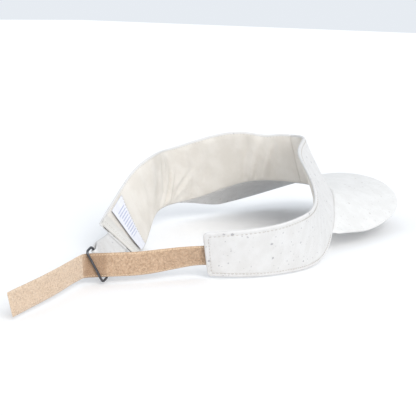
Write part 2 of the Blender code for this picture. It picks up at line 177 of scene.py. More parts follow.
# ---- where each sheet lies on its flat material, in mm, so that no two share a pattern ----
BAND_CLOTH = 300
BRIM_TOP_CLOTH = (200, 400)
BRIM_UNDER_CLOTH = (520, 400)
TAPE_CLOTH = (50, 30)
TAB_CLOTH = 700

# ---- floor, light and camera; metres and degrees, the sensor and lens in millimetres ----
FLOOR_SIZE = 14
FLOOR_DROP = 0.0002
SKY_LEVEL, SKY_COLOR = 0.89, (0.90, 0.945, 1.0, 1)
KEY_LEVEL, KEY_COLOR = 1.6, (1.0, 0.98, 0.95)
KEY_SPREAD = 36
KEY_FROM = (-0.88, 0.50, 0.64)
# the camera came from the same kind of fit as the band's rows; its rise and target were then
# changed
CAMERA_AZIMUTH, CAMERA_RISE, CAMERA_ROLL = 217.8, 10.5, -1.36
CAMERA_DISTANCE = 0.9117
SENSOR_WIDTH, LENS_LENGTH = 36, 96.06
TARGET = Vector((0.03228, -0.03905, 0.0269))


# ---------------------------------------------------------------- numbers
def unit(v):
    """The same direction at length 1."""
    v = np.asarray(v, float)
    return v / np.linalg.norm(v)


def ease(t):
    """0 to 1 with a soft start and stop."""
    t = min(max(t, 0.0), 1.0)
    return t * t * (3 - 2 * t)


def bell(x, middle, width):
    """1 at the middle, falling smoothly to both sides."""
    return math.exp(-((x - middle) / width) ** 2)


def through(values, s):
    """Smooth cubic through the station values; each slope comes from the two neighbours."""
    xs = STATIONS
    s = min(max(s, xs[0]), xs[-1])
    k = 0
    while k < len(xs) - 2 and s > xs[k + 1]:
        k += 1
    slopes = []
    for i in (k, k + 1):
        lo, hi = max(i - 1, 0), min(i + 1, len(xs) - 1)
        slopes.append((values[hi] - values[lo]) / (xs[hi] - xs[lo]))
    w = xs[k + 1] - xs[k]
    t = (s - xs[k]) / w
    a = (2 * t ** 3 - 3 * t ** 2 + 1) * values[k]
    b = (t ** 3 - 2 * t ** 2 + t) * w * slopes[0]
    c = (3 * t ** 2 - 2 * t ** 3) * values[k + 1]
    d = (t ** 3 - t ** 2) * w * slopes[1]
    return a + b + c + d


def hermite(p0, d0, p1, d1, t):
    """Point at t on the cubic from p0 to p1 with end directions d0 and d1."""
    p0, d0, p1, d1 = (np.asarray(v, float) for v in (p0, d0, p1, d1))
    a = (2 * t ** 3 - 3 * t ** 2 + 1) * p0
    b = (t ** 3 - 2 * t ** 2 + t) * d0
    c = (3 * t ** 2 - 2 * t ** 3) * p1
    d = (t ** 3 - t ** 2) * d1
    return a + b + c + d


# ---------------------------------------------------------------- band surface
def plan_walk(headings):
    """The lower edge seen from above, in steps of 1 mm."""
    xs, ys = [0.0], [0.0]
    for k in range(WING_END + 6):
        h = math.radians(through(headings, k + 0.5))
        xs.append(xs[-1] + math.cos(h))
        ys.append(ys[-1] + math.sin(h))
    return xs, ys


WALKS = {side: plan_walk(rows[0]) for side, rows in BAND_ROWS.items()}


@functools.lru_cache(maxsize=None)
def ruling(s):
    """Lower-edge point, unit direction of the straight line up the band, and its length."""
    side = 1 if s >= 0 else -1
    a = abs(s)
    xs, ys = WALKS[side]
    k = min(int(a), len(xs) - 2)
    f = a - k
    x = xs[k] + f * (xs[k + 1] - xs[k])
    y = ys[k] + f * (ys[k + 1] - ys[k])
    heading, lean, sweep, height, low = (through(row, a) for row in BAND_ROWS[side])
    heading, lean, sweep = math.radians(heading), math.radians(lean), math.tan(math.radians(sweep))
    along = np.array([math.cos(heading), math.sin(heading), 0.0])
    inward = np.array([-math.sin(heading), math.cos(heading), 0.0])
    up = inward * math.sin(lean) + along * sweep * math.cos(lean) + np.array([0, 0, math.cos(lean)])
    base = np.array([x, y + CENTRE_FRONT_Y, low])
    flip = np.array([side, 1, 1])
    height -= TOP_DIP * bell(s, TOP_DIP_S, TOP_DIP_WIDTH)
    return base * flip, unit(up) * flip, height


def band_point(s, h, w):
    """Point at arc position s, h up the ruling, w outwards from the band's middle."""
    base, up, height = ruling(s)
    back, up_back, h_back = ruling(s - 1.0)
    front, up_front, h_front = ruling(s + 1.0)
    v = h / height
    along = (front + v * h_front * up_front) - (back + v * h_back * up_back)
    outward = unit(np.cross(along, up))
    return base + h * up + w * outward


def height_at(s):
    return ruling(s)[2]


def waviness(s, h):
    """Slow dents in the cork, up to about a third of a millimetre."""
    slow = 0.20 * math.sin(s / 19.0 + h / 31.0) + 0.13 * math.sin(s / 8.7 - h / 17.0 + 1.3)
    return slow + 0.06 * math.sin(s / 4.1 + h / 6.3)


# ---------------------------------------------------------------- meshes
def piece(name, points, faces, cloth, look):
    """A mesh from points in millimetres; cloth is each point's place on the flat material, in mm."""
    mesh = bpy.data.meshes.new(name)
    mesh.from_pydata(((np.asarray(points) + PLACE) * MM).tolist(), [], faces)
    bm = bmesh.new()
    bm.from_mesh(mesh)
    bmesh.ops.recalc_face_normals(bm, faces=bm.faces)
    bm.to_mesh(mesh)
    bm.free()
    if cloth is not None:
        corner = np.empty(len(mesh.loops), int)
        mesh.loops.foreach_get("vertex_index", corner)
        layer = mesh.uv_layers.new(name="cloth")
        layer.data.foreach_set("uv", np.asarray(cloth, float)[corner].ravel())
    mesh.polygons.foreach_set("use_smooth", [True] * len(mesh.polygons))
    mesh.materials.append(look)
    obj = bpy.data.objects.new(name, mesh)
    bpy.context.scene.collection.objects.link(obj)
    return obj


def skin(name, loops, cloth, look):
    """A closed skin through matching closed loops of points."""
    size = len(loops[0])
    faces = []
    for i in range(len(loops) - 1):
        for k in range(size):
            m = (k + 1) % size
            faces.append((i * size + k, i * size + m, (i + 1) * size + m, (i + 1) * size + k))
    last = (len(loops) - 1) * size
    faces.append(tuple(range(size)))
    faces.append(tuple(range(last + size - 1, last - 1, -1)))
    points = [p for loop in loops for p in loop]
    return piece(name, points, faces, [c for line in cloth for c in line], look)


def distances_along(path):
    """How far each point of a path is from its start."""
    return np.concatenate([[0], np.cumsum(np.linalg.norm(np.diff(path, axis=0), axis=1))])


def sheet_of(columns, rows, place):
    """Grids of points and of cloth coordinates from place(t, f); both run from 0 to 1."""
    both = [[place(i / columns, j / rows) for j in range(rows + 1)] for i in range(columns + 1)]
    return [[spot for spot, _ in line] for line in both], [[flat for _, flat in line] for line in both]


def normals_of(grid):
    """Unit normals at the points of a grid."""
    along = np.gradient(grid, axis=0)
    across = np.gradient(grid, axis=1)
    n = np.cross(along, across)
    return n / np.linalg.norm(n, axis=2, keepdims=True)


def thin(name, grid, thickness, cloth, look, edge=0.35):
    """A soft sheet with rounded edges around a grid of mid points; thickness may vary across."""
    grid = np.asarray(grid, float)
    rows, columns = grid.shape[:2]
    half = np.broadcast_to(np.asarray(thickness, float) / 2, (rows, columns)).copy()
    half[0] *= edge
    half[-1] *= edge
    half[:, 0] *= edge
    half[:, -1] *= edge
    n = normals_of(grid)
    front = grid + n * half[:, :, None]
    back = grid - n * half[:, :, None]
    loops = [list(front[i]) + list(back[i][::-1]) for i in range(rows)]
    flat = [list(cloth[i]) + list(cloth[i][::-1]) for i in range(rows)]
    return skin(name, loops, flat, look)


def closed_rod(name, path, radius, sides, look):
    """A round section along a closed path, with cloth coordinates round and along it."""
    n = len(path)
    points, cloth, side, gone = [], [], None, 0.0
    for i, p in enumerate(path):
        ahead = path[(i + 1) % n]
        d = unit(ahead - path[i - 1])
        if side is None:
            side = np.cross(d, (0.31, 0.17, 0.94))
        side = unit(side - d * np.dot(side, d))
        other = np.cross(d, side)
        for k in range(sides):
            a = 2 * math.pi * k / sides
            points.append(p + radius * (math.cos(a) * side + math.sin(a) * other))
            cloth.append((a * radius, gone))
        gone += np.linalg.norm(ahead - p)
    faces = []
    for i in range(n):
        j = (i + 1) % n
        for k in range(sides):
            m = (k + 1) % sides
            faces.append((i * sides + k, i * sides + m, j * sides + m, j * sides + k))
    return piece(name, points, faces, cloth, look)


def fibres(name, paths, radius, look, sides=3):
    """Many short threads in one mesh; paths has the shape thread, step, 3."""
    paths = np.asarray(paths, float)
    count, steps = paths.shape[:2]
    d = np.gradient(paths, axis=1)
    d /= np.linalg.norm(d, axis=2, keepdims=True)
    side = np.cross(d, np.array([0.37, 0.23, 0.9]))
    side /= np.linalg.norm(side, axis=2, keepdims=True)
    other = np.cross(d, side)
    angles = np.arange(sides) * 2 * math.pi / sides
    ring = (np.cos(angles)[None, None, :, None] * side[:, :, None, :]
            + np.sin(angles)[None, None, :, None] * other[:, :, None, :])
    points = (paths[:, :, None, :] + radius * ring).reshape(-1, 3)
    faces = []
    for c in range(count):
        first = c * steps * sides
        for i in range(steps - 1):
            a, b = first + i * sides, first + (i + 1) * sides
            for k in range(sides):
                m = (k + 1) % sides
                faces.append((a + k, a + m, b + m, b + k))
        faces.append(tuple(range(first, first + sides)))
        faces.append(tuple(range(first + (steps - 1) * sides, first + steps * sides)))
    return piece(name, points, faces, None, look)


def dashes(name, rows, length=STITCH_LENGTH):
    """Separate stitches that dip into the cloth at both ends; rows hold (centre, along, out)."""
    paths = []
    for centre, along, out in rows:
        line = []
        for t in (-1.0, -0.8, -0.4, 0.0, 0.4, 0.8, 1.0):
            line.append(centre + along * (length / 2) * t + out * (0.12 - 0.42 * t ** 4))
        paths.append(line)
    return fibres(name, paths, STITCH_R, THREAD, sides=6)


# ---------------------------------------------------------------- materials
def node(tree, kind, inputs=None, **settings):
    """A new shader node; an input is either a value or another node's output."""
    made = tree.nodes.new("ShaderNode" + kind)
    for key, value in settings.items():
        setattr(made, key, value)
    for key, value in (inputs or {}).items():
        if isinstance(value, bpy.types.NodeSocket):
            tree.links.new(value, made.inputs[key])
        else:
            made.inputs[key].default_value = value
    return made


def new_look(name, rough, metal=0.0, sheen=0.0):
    """A material with its tree, its shader and the cloth coordinate."""
    mat = bpy.data.materials.new(name)
    mat.use_nodes = True
    tree = mat.node_tree
    shader = tree.nodes["Principled BSDF"]
    shader.inputs["Roughness"].default_value = rough
    shader.inputs["Metallic"].default_value = metal
    shader.inputs["Sheen Weight"].default_value = sheen
    shader.inputs["Specular IOR Level"].default_value = 0.3
    uv = node(tree, "TexCoord").outputs["UV"]
    return mat, tree, shader, uv


def spread(tree, uv, sx, sy, turn=0.0):
    """The cloth coordinate scaled to cells per millimetre."""
    made = node(tree, "Mapping", {"Vector": uv, "Scale": (sx, sy, 1), "Rotation": (0, 0, turn)})
    return made.outputs["Vector"]


def noise(tree, vector, detail=3.0, rough=0.55):
    made = node(tree, "TexNoise", {"Vector": vector, "Scale": 1.0, "Detail": detail, "Roughness": rough})
    return made.outputs["Fac"]


def calc(tree, how, a, b=0.0, clamp=False):
    made = node(tree, "Math", {0: a, 1: b}, operation=how, use_clamp=clamp)
    return made.outputs[0]


def times(tree, a, b):
    return calc(tree, "MULTIPLY", a, b)


def ramp(tree, value, low, high, out_low=0.0, out_high=1.0):
    made = node(tree, "MapRange", {"Value": value, "From Min": low, "From Max": high,
                                   "To Min": out_low, "To Max": out_high},
                interpolation_type="SMOOTHSTEP")
    return made.outputs[0]


def mixed(tree, share, a, b):
    """Colour a with a share of b; each is three numbers or another node's output."""
    a, b = ((*c, 1) if isinstance(c, tuple) else c for c in (a, b))
    made = node(tree, "Mix", {0: share, 6: a, 7: b}, data_type="RGBA")
    return made.outputs[2]


def finish_look(tree, shader, color, height, depth, rough=None):
    """Joins the colour, a bump of the given depth in mm, and the roughness to the shader."""
    tree.links.new(color, shader.inputs["Base Color"])
    bump = node(tree, "Bump", {"Height": height, "Strength": 0.7, "Distance": depth * MM})
    tree.links.new(bump.outputs["Normal"], shader.inputs["Normal"])
    if rough is not None:
        tree.links.new(rough, shader.inputs["Roughness"])


def specks(tree, uv, scale, size, share):
    """Scattered pits: one per cell, in only some cells, with ragged edges."""
    wobble = noise(tree, spread(tree, uv, scale * 5, scale * 5), 2.0)
    cells = node(tree, "TexVoronoi", {"Vector": spread(tree, uv, scale, scale * 0.8, 0.2), "Scale": 1.0})
    chosen = node(tree, "SeparateColor", {0: cells.outputs["Color"]})
    present = calc(tree, "LESS_THAN", chosen.outputs[0], share)
    reach = times(tree, chosen.outputs[1], size)
    reach = times(tree, reach, times(tree, wobble, 2.0))
    inside = calc(tree, "SUBTRACT", reach, cells.outputs["Distance"])
    soft = ramp(tree, inside, -0.04, 0.06)
    return times(tree, soft, present)


def make_cork(name, light, dark, pit, pit_share):
    """Pale cork: clouds, grain along the sheet, and pits of two sizes."""
    mat, tree, shader, uv = new_look(name, 0.72, 0.0, 0.08)
    mottle = noise(tree, spread(tree, uv, 0.10, 0.07), 5.0, 0.62)
    grain = noise(tree, spread(tree, uv, 0.80, 0.16), 4.0, 0.65)
    fine = noise(tree, spread(tree, uv, 2.4, 1.6), 2.0)
    color = mixed(tree, ramp(tree, mottle, 0.36, 0.66), dark, light)
    color = mixed(tree, ramp(tree, grain, 0.56, 0.74, 0.0, 0.35), color, dark)
    color = mixed(tree, ramp(tree, fine, 0.60, 0.80, 0.0, 0.25), color, dark)
    large = specks(tree, uv, 0.21, 0.21, 0.50)
    small = specks(tree, uv, 0.45, 0.26, 0.55)
    pits = calc(tree, "ADD", times(tree, large, pit_share),
                times(tree, small, 0.7 * pit_share), True)
    color = mixed(tree, pits, color, pit)
    height = calc(tree, "ADD", times(tree, grain, 0.5), times(tree, fine, 0.35))
    height = calc(tree, "SUBTRACT", height, pits)
    rough = ramp(tree, mottle, 0.3, 0.7, 0.62, 0.82)
    finish_look(tree, shader, color, height, 0.35, rough)
    return mat


def weave(tree, uv, pitch):
    """Over and under threads of a plain weave, 0 to 1."""
    full_turn = 6.283
    fine, still = 1 / pitch / full_turn, 0.001
    bands = []
    for scale, direction in (((fine, still), "X"), ((still, fine), "Y")):
        inputs = {"Vector": spread(tree, uv, *scale), "Scale": full_turn, "Distortion": 0.0}
        wave = node(tree, "TexWave", inputs, wave_profile="SIN", bands_direction=direction)
        bands.append(wave.outputs["Fac"])
    return times(tree, *bands)


def make_cloth(name, light, dark, pitch, rough=0.9, sheen=0.15, depth=0.12):
    """Plain woven cloth with soft clouds and thicker threads here and there."""
    mat, tree, shader, uv = new_look(name, rough, 0.0, sheen)
    threads = weave(tree, uv, pitch)
    cloud = noise(tree, spread(tree, uv, 0.06, 0.045), 4.0)
    slub = noise(tree, spread(tree, uv, 0.8, 0.05), 2.0)
    color = mixed(tree, ramp(tree, cloud, 0.35, 0.65), dark, light)
    color = mixed(tree, ramp(tree, slub, 0.5, 0.8, 0.0, 0.3), color, dark)
    color = mixed(tree, times(tree, threads, 0.12), color, light)
    finish_look(tree, shader, color, threads, depth, ramp(tree, cloud, 0.3, 0.7, rough - 0.06, rough))
    return mat


def make_tape(name, light, dark, pitch, depth, painted_shade=None):
    """Fuzzy tape; the last argument gives the start, stop and colour of a stretch painted darker, as shade,
    along it.
    """
    mat, tree, shader, uv = new_look(name, 0.95, 0.0, 0.3)
    threads = weave(tree, uv, pitch)
    fuzz = noise(tree, spread(tree, uv, 0.60, 0.50), 5.0, 0.75)
    cloud = noise(tree, spread(tree, uv, 0.12, 0.16), 3.0)
    color = mixed(tree, ramp(tree, fuzz, 0.38, 0.62), dark, light)
    color = mixed(tree, ramp(tree, cloud, 0.4, 0.7, 0.0, 0.4), color, light)
    # painted shade: the stretch of tape inside the ring is painted darker
    if painted_shade is not None:
        start, stop, shade_tint = painted_shade
        along = node(tree, "SeparateXYZ", {0: uv}).outputs[0]
        begun = ramp(tree, along, start - 2.5, start + 2.5)
        left = ramp(tree, along, stop - 1.5, stop + 1.5, 1.0, 0.0)
        share = times(tree, times(tree, begun, left), 0.8)
        color = mixed(tree, share, color, shade_tint)
    height = calc(tree, "ADD", times(tree, threads, 0.4), fuzz)
    finish_look(tree, shader, color, height, depth)
    return mat


def make_metal(name, light, dark):
    """Dark wire with worn, smoother places."""
    mat, tree, shader, uv = new_look(name, 0.35, 1.0)
    wear = noise(tree, spread(tree, uv, 0.7, 0.35), 4.0, 0.7)
    fine = noise(tree, spread(tree, uv, 6.0, 0.8), 2.0)
    color = mixed(tree, ramp(tree, wear, 0.45, 0.7), dark, light)
    finish_look(tree, shader, color, fine, 0.03, ramp(tree, wear, 0.3, 0.7, 0.28, 0.5))
    return mat


def make_label_look(name, light, dark, ink):
    """Satin with rows of plain bars of uneven length: no lettering."""
    mat, tree, shader, uv = new_look(name, 0.55, 0.0, 0.2)
    split = node(tree, "SeparateXYZ", {0: uv})
    x, y = split.outputs[0], split.outputs[1]
    line = calc(tree, "DIVIDE", y, BAR_PITCH)
    row = calc(tree, "FLOOR", line)
    within = calc(tree, "FRACT", line)
    bar = calc(tree, "LESS_THAN", within, BAR_SHARE)
    random = node(tree, "TexWhiteNoise", {"W": row}, noise_dimensions="1D").outputs["Value"]
    reach = calc(tree, "ADD", times(tree, random, BAR_UNEVEN), BAR_SHORTEST)
    for how, value, limit in (("LESS_THAN", x, reach), ("GREATER_THAN", x, BAR_START),
                              ("LESS_THAN", y, BARS_TOP), ("GREATER_THAN", y, BARS_BOTTOM)):
        bar = times(tree, bar, calc(tree, how, value, limit))
    ragged = noise(tree, spread(tree, uv, 0.9, 1.6), 2.0)
    bar = times(tree, bar, ramp(tree, ragged, 0.32, 0.55, 0.35, 0.8))
    cloud = noise(tree, spread(tree, uv, 0.15, 0.1), 3.0)
    color = mixed(tree, ramp(tree, cloud, 0.35, 0.65), dark, light)
    color = mixed(tree, bar, color, ink)
    threads = weave(tree, uv, 0.35)
    finish_look(tree, shader, color, threads, 0.05)
    return mat


def make_floor_look():
    """Pale matt paper."""
    mat, tree, shader, _ = new_look("floor_paper", 0.95)
    place = node(tree, "TexCoord").outputs["Object"]
    cloud = noise(tree, spread(tree, place, 3.0, 3.0), 2.0)
    color = mixed(tree, cloud, (0.955, 0.955, 0.96), (0.975, 0.975, 0.975))
    tree.links.new(color, shader.inputs["Base Color"])
    shader.inputs["Specular IOR Level"].default_value = 0.0
    return mat


# painted shade where the ring and its tab shade the tape: from, to, in mm along the tape, and its colour
LOOP_PAINTED_SHADE = (132, 147, (0.42, 0.27, 0.17))
CORK = make_cork("cork_washed", (0.735, 0.725, 0.715), (0.69, 0.677, 0.662), (0.36, 0.35, 0.37), 0.8)
CORK_BRIM = make_cork("cork_brim", (0.79, 0.783, 0.768), (0.745, 0.735, 0.717), (0.56, 0.52, 0.50), 0.7)
# painted shade: the brim's underside is cork painted darker than its top, for the shade under the brim
CORK_UNDER_SHADED = make_cork("cork_under_painted_shade", (0.62, 0.61, 0.60), (0.56, 0.55, 0.54), (0.36, 0.33, 0.31), 0.6)
LINING = make_cloth("lining_cotton", (0.86, 0.82, 0.76), (0.79, 0.745, 0.68), 0.55)
HEM_CLOTH = make_cloth("hem_cotton", (0.80, 0.78, 0.75), (0.72, 0.70, 0.66), 0.55)
LOOP_TAPE = make_tape("loop_pile", (0.72, 0.52, 0.36), (0.50, 0.34, 0.22), 0.8, 0.35, LOOP_PAINTED_SHADE)
LOOP_EDGE = make_cloth("tape_selvedge", (0.90, 0.72, 0.52), (0.74, 0.55, 0.37), 0.6, 0.85, 0.1, 0.2)
HOOK_TAPE = make_tape("hook_pile", (0.84, 0.66, 0.49), (0.58, 0.42, 0.29), 1.3, 0.4)
HOOK_FIBRE = make_cloth("hook_fibre", (0.95, 0.82, 0.68), (0.80, 0.64, 0.49), 0.5, 0.6, 0.1, 0.05)
LOOP_FIBRE = make_cloth("loop_fibre", (0.74, 0.55, 0.39), (0.60, 0.42, 0.28), 0.5, 0.8, 0.2, 0.05)
THREAD = make_cloth("stitch_thread", (0.62, 0.59, 0.55), (0.52, 0.49, 0.45), 0.3, 0.8, 0.1, 0.04)
METAL = make_metal("gunmetal_wire", (0.20, 0.205, 0.22), (0.10, 0.10, 0.11))
LABEL = make_label_look("label_satin", (0.86, 0.87, 0.93), (0.81, 0.82, 0.90), (0.40, 0.44, 0.64))


# ---------------------------------------------------------------- cork shells
def end_shape(s, distance):
    """How much thickness is left, and how far the corner draws in, near a wing's end."""
    left = 1.0
    if distance < ROLL:
        left = max(math.sqrt(max(1 - ((ROLL - distance) / ROLL) ** 2, 0.0)), 0.12)
    drawn = 0.0
    corner = LEFT_CORNER_R if s > 0 else RIGHT_CORNER_R
    if distance < corner:
        drawn = corner - math.sqrt(max(corner ** 2 - (corner - distance) ** 2, 0.0))
    return left, drawn


def shell_section(s, distance):
    """Loop round the folded cork at s: inner hem, top roll, outer face, bottom roll, inner hem."""
    left, drawn = end_shape(s, distance)
    low, high = drawn, height_at(s) - drawn
    half = ROLL * left
    roll = min(ROLL, (high - low) / 4)
    step = min(HEM_STEP, 1.1 * half)
    section = [(high - roll - HEM, -half + step), (high - roll - HEM * 0.9, -half), (high - roll, -half)]
    for k in range(1, ROLL_STEPS):
        a = math.pi * k / ROLL_STEPS
        section.append((high - roll + roll * math.sin(a), -half * math.cos(a)))
    span = high - low - 2 * roll
    near = (0.0, 0.5, 1.1, 1.7, 2.3, 2.9, 3.6, 4.6)
    down = list(near)
    middle_steps = 16
    for k in range(1, middle_steps):
        down.append(near[-1] + (span - 2 * near[-1]) * k / middle_steps)
    down += [span - x for x in reversed(near)]
    for x in down:
        h = high - roll - x
        from_edge = min(h - low, high - h)
        groove = 0.18 * bell(from_edge, STITCH_INSET, 0.75) + 0.14 * bell(distance, STITCH_INSET, 0.75)
        section.append((h, half - groove * left + waviness(s, h) * left * min(from_edge / 8, 1)))
    for k in range(1, ROLL_STEPS):
        a = math.pi * k / ROLL_STEPS
        section.append((low + roll - roll * math.sin(a), half * math.cos(a)))
    section += [(low + roll, -half), (low + roll + HEM * 0.9, -half), (low + roll + HEM, -half + step)]
    return section


def make_shell(name, start, stop):
    """Cork from the centre front (start) to a wing's end (stop)."""
    side = 1 if stop > start else -1
    length = abs(stop - start)
    distances = [0.0, 0.12, 0.3, 0.55, 0.8, 1.125, 1.6, 2.2, 2.8, 3.4, 4.2]
    steps = int((length - distances[-1]) / CORK_STEP)
    distances += [distances[-1] + (length - distances[-1]) * k / steps for k in range(1, steps + 1)]
    loops, cloth = [], []
    for distance in distances:
        s = stop - side * distance
        line, flat, around, before = [], [], 0.0, None
        for h, w in shell_section(s, distance):
            line.append(band_point(s, h, ROLL_MID + w))
            if before is not None:
                around += math.hypot(h - before[0], w - before[1])
            before = (h, w)
            flat.append((s + BAND_CLOTH, -around))
        loops.append(line)
        cloth.append(flat)
    return skin(name, loops, cloth, CORK)


# ---------------------------------------------------------------- lining
# the folds by the left temple fan out of one place on the lower edge
GATHER = 140
FOLDS = (
    # place at the bottom, place at the top, width, depth, foot height, head height; the places
    # were guided by the photograph and set one by one, and most negative ones are hidden in it
    (GATHER + 5, 105, 2.8, -2.9, 0.0, 0.6),
    (GATHER, 70, 2.4, -2.1, 0.0, 0.25),
    (GATHER - 5, 60, 3.4, -1.2, 0.1, 0.55),
    (GATHER + 5, 135, 3.2, -0.9, 0.4, 0.85),
    (105, 80, 3.8, -0.7, 0.0, 0.9),
    (90, 75, 4.2, -0.9, 0.3, 1.0),
    (55, 35, 3.2, -1.1, 0.05, 0.9),
    (45, 20, 3.0, -1.6, 0.05, 0.9),
    (30, 15, 2.8, -1.1, 0.05, 0.9),
    (0, 0, 3.2, -0.5, 0.6, 1.0),
    (160, 150, 6.0, -0.5, 0.1, 0.9),
    (180, 175, 5.0, -0.5, 0.1, 0.8),
    (-20, -15, 4.0, -0.5, 0.1, 1.0),
    (-50, -35, 4.5, -0.5, 0.1, 0.9),
    (-80, -60, 5.0, -0.6, 0.1, 1.0),
    (-110, -100, 4.0, -0.9, 0.0, 0.7),
    (-140, -130, 6.0, -0.6, 0.1, 0.9),
    (-175, -170, 7.0, -0.5, 0.1, 0.9),
    (-215, -210, 6.0, -0.4, 0.1, 0.9),
)


def wrinkle(s, v):
    """Folds pinch in towards the cork between soft swells of the lining."""
    swell = 0.55 + 0.75 * ease((SWELL_END - abs(s)) / 25)
    total = swell * math.sin(math.pi * min(max(v, 0), 1)) ** 0.5
    total += 0.16 * math.sin(s / 5.3 + 2.2 * v) + 0.12 * math.sin(s / 3.1 - 3.0 * v + 0.8)
    total += 0.10 * math.sin(v * 9.0 + s / 11.0)
    for foot, head, width, depth, v_low, v_high in FOLDS:
        middle = foot + (head - foot) * v
        if abs(s - middle) > 4 * width:
            continue
        fade = ease((v - v_low + 0.08) / 0.16) * ease((v_high - v + 0.15) / 0.3)
        x = (s - middle) / width
        total += fade * depth * (math.exp(-x * x) - 0.75 * math.exp(-((abs(x) - 1.9) / 1.1) ** 2))
    return total * min(1.0, v / 0.06, (1 - v) / 0.06) if 0 < v < 1 else 0.0


def make_lining(name, start, stop):
    """Wrinkled cotton from the centre front (start) towards a wing's end (stop)."""
    def place(t, f):
        s = start + (stop - start) * t
        v = f - 0.06 * math.sin(2 * math.pi * f)
        h = LINING_EDGE + (height_at(s) - 2 * LINING_EDGE) * v
        return band_point(s, h, IN - LINING_GAP - wrinkle(s, v)), (s + BAND_CLOTH, h)

    grid, cloth = sheet_of(int(abs(stop - start) / LINING_STEP), LINING_ROWS, place)
    return thin(name, grid, LINING_THICK, cloth, LINING)


# ---------------------------------------------------------------- stitch rows
def along_band(s0, s1, inset, top, w, pitch=STITCH_PITCH):
    """Stitch places on a row that keeps its distance from the lower or upper edge."""
    count = max(int(abs(s1 - s0) / pitch), 1)
    rows = []
    for i in range(count):
        s = s0 + (s1 - s0) * (i + 0.5) / count
        h = height_at(s) - inset if top else inset
        here = band_point(s, h, w)
        d = unit(band_point(s + 0.7, height_at(s + 0.7) - inset if top else inset, w) - here)
        out = unit(band_point(s, h, w + 1) - here) * (1 if w > 0 else -1)
        rows.append((here, d, out))
    return rows


def up_band(s, h0, h1, w, pitch=STITCH_PITCH):
    """Stitch places on a row up the band at s, from height h0 to h1."""
    count = max(int(abs(h1 - h0) / pitch), 1)
    rows = []
    for i in range(count):
        h = h0 + (h1 - h0) * (i + 0.5) / count
        here = band_point(s, h, w)
        out = unit(band_point(s, h, w + 1) - here) * (1 if w > 0 else -1)
        rows.append((here, ruling(s)[1], out))
    return rows


# ---------------------------------------------------------------- brim
def brim_edges(u):
    """The brim's seam and rim at u, which runs from -1 to 1 across it."""
    inner = band_point(u * BRIM_SEAM, 0.9, 0.4)
    corner = band_point(math.copysign(BRIM_SEAM, u), 0, BRIM_CLEAR)
    depth = corner[1] - BRIM_CORNER_STEP - BRIM_FRONT_Y
    a = u * math.pi / 2
    x = math.copysign(BRIM_HALF_WIDTH * abs(math.sin(a)) ** (2 / BRIM_POWER), u)
    ahead = max(math.cos(a), 0.0) ** (2 / BRIM_POWER)
    y = corner[1] - BRIM_CORNER_STEP - depth * ahead
    z = BRIM_FRONT_Z + (BRIM_SIDE_Z - BRIM_FRONT_Z) * (x / BRIM_HALF_WIDTH) ** 2
    near = ease(1 - ahead / BRIM_CORNER_BLEND)
    x += math.copysign(near * (abs(corner[0]) - BRIM_HALF_WIDTH) * abs(u), u)
    z += near * (corner[2] - BRIM_SIDE_Z - BRIM_CORNER_DROP)
    return inner, np.array([x, y, z])


def brim_point(u, t, lift):
    """Point at t from the seam to the rim, lifted off the brim's middle."""
    inner, outer = brim_edges(u)
    p = inner + (outer - inner) * t
    slope = 2 * (BRIM_SIDE_Z - BRIM_FRONT_Z) * p[0] / BRIM_HALF_WIDTH ** 2
    wave = 0.25 * math.sin(p[0] / 21.0 + p[1] / 33.0) * math.sin(math.pi * t)
    return p + (lift + wave) * unit([-slope, 0, 1])


def brim_stations():
    """Even steps across the brim, and finer ones where its corners are rounded."""
    count = 150
    us = [-BRIM_MIDDLE + 2 * BRIM_MIDDLE * i / count for i in range(count + 1)]
    ends = (0.9895, 0.9925, 0.9955, 0.998, 1.0)
    return [-u for u in reversed(ends)] + us + list(ends)


def brim_thickness(u):
    """Half the brim's thickness, rounded off at the two corners."""
    edge = 1 - abs(u)
    if edge > BRIM_ROUNDED:
        return BRIM_HALF_THICK
    return BRIM_HALF_THICK * max(math.sqrt(1 - (1 - edge / BRIM_ROUNDED) ** 2), 0.15)


def make_brim_top():
    """The brim's upper skin, turned round the rim to its lower side."""
    loops, cloth = [], []
    t_steps = 26
    for u in brim_stations():
        inner, outer = brim_edges(u)
        e = unit(outer - inner)
        thick = brim_thickness(u)
        line = [brim_point(u, t / t_steps, thick) for t in range(t_steps + 1)]
        n = unit(line[-1] - brim_point(u, 1, 0))
        tip = brim_point(u, 1, 0)
        for k in range(1, ROLL_STEPS):
            a = math.pi * k / ROLL_STEPS
            line.append(tip + thick * (math.cos(a) * n + math.sin(a) * e))
        line += [brim_point(u, 1 - t / t_steps, -thick) for t in range(t_steps + 1)]
        loops.append(line)
        cloth.append([(p[0] + BRIM_TOP_CLOTH[0], p[1] + BRIM_TOP_CLOTH[1]) for p in line])
    return skin("brim_top_skin", loops, cloth, CORK_BRIM)


def make_brim_under():
    """The sheet under the brim, set back from its rim."""
    def place(t, f):
        u = BRIM_MIDDLE * (2 * t - 1)
        inner, outer = brim_edges(u)
        stop = max(1 - BRIM_UNDER_INSET / np.linalg.norm(outer - inner), 0.5)
        p = brim_point(u, stop * f, -BRIM_HALF_THICK - 0.12)
        return p, (p[0] + BRIM_UNDER_CLOTH[0], p[1] + BRIM_UNDER_CLOTH[1])

    grid, cloth = sheet_of(120, 20, place)
    return thin("brim_under_skin", grid, 0.4, cloth, CORK_UNDER_SHADED)


# ---------------------------------------------------------------- strap, ring, tab
def wing_frame(s, v, w):
    """Point on the band at the share v of its height, the direction along, and the one up."""
    h = v * height_at(s)
    p = band_point(s, h, w)
    ahead = band_point(s + 1, v * height_at(s + 1), w) - band_point(s - 1, v * height_at(s - 1), w)
    return p, unit(ahead), ruling(s)[1]


